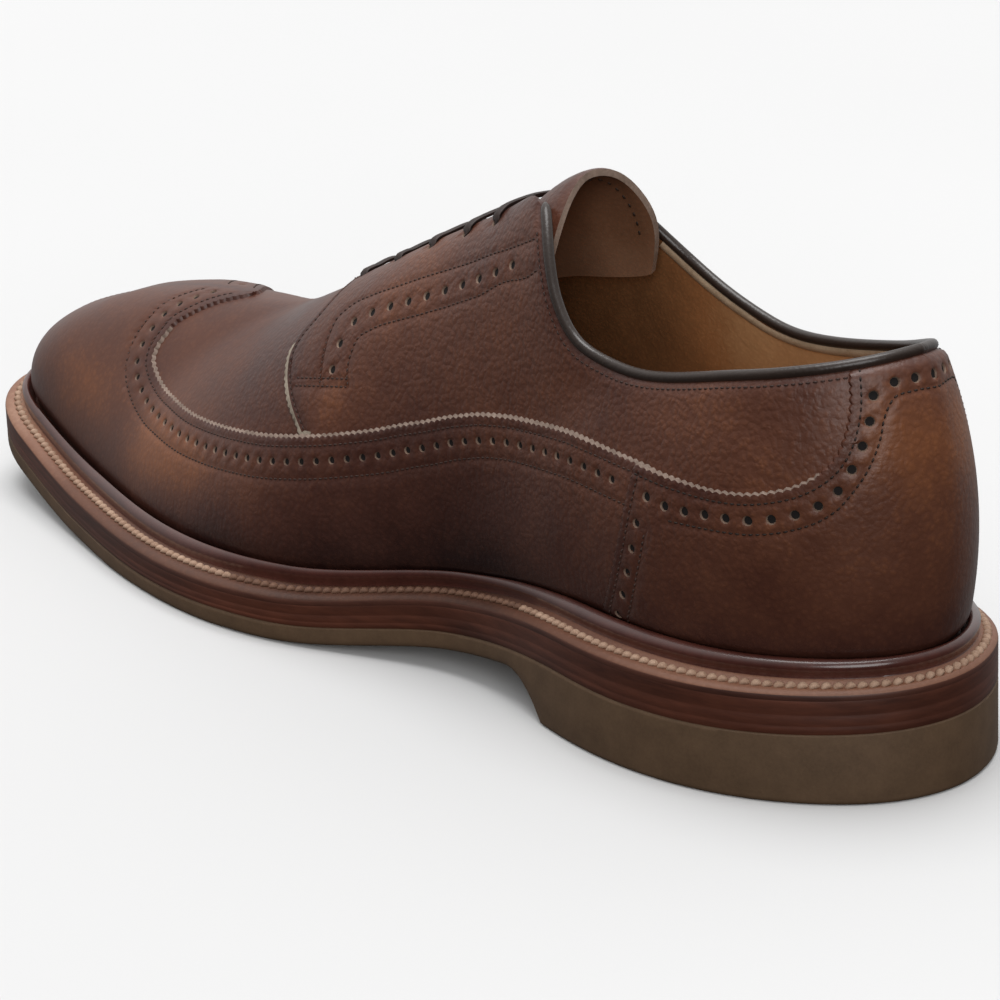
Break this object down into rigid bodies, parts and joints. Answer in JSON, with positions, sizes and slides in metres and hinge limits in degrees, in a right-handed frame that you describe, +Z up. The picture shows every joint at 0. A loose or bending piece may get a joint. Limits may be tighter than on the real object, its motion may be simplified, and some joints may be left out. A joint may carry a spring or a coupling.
{
  "type": "wingtip derby shoe",
  "caption": "Longwing brogue derby shoe for the right foot: brown grained leather upper with open lacing on a storm welt, leather midsole and rubber sole with heel, hollow inside.",
  "frame": {"origin": "centre of the shoe's box on the floor it stands on", "axes": "+X from heel to toe, +Y to the inner side of the foot, +Z up"},
  "size_m": [0.308, 0.1036, 0.1119],
  "materials": {
    "outsole": "matt moulded rubber",
    "midsole": "dressed dark edge",
    "welt": "waxed, stitched",
    "insole": "smooth",
    "upper": "grained and burnished",
    "tongue": "grained",
    "binding": "smooth, rolled",
    "lace": "waxed cotton"
  },
  "bodies": {
    "root": {"outsole": "outsole", "midsole": "midsole", "welt": "welt", "insole": "insole", "upper": "upper", "tongue": "tongue", "collar_binding": "binding", "lace_bar_1": "lace", "lace_bar_2": "lace", "lace_bar_3": "lace", "lace_bar_4": "lace", "lace_bar_5": "lace"}
  },
  "joints": []
}
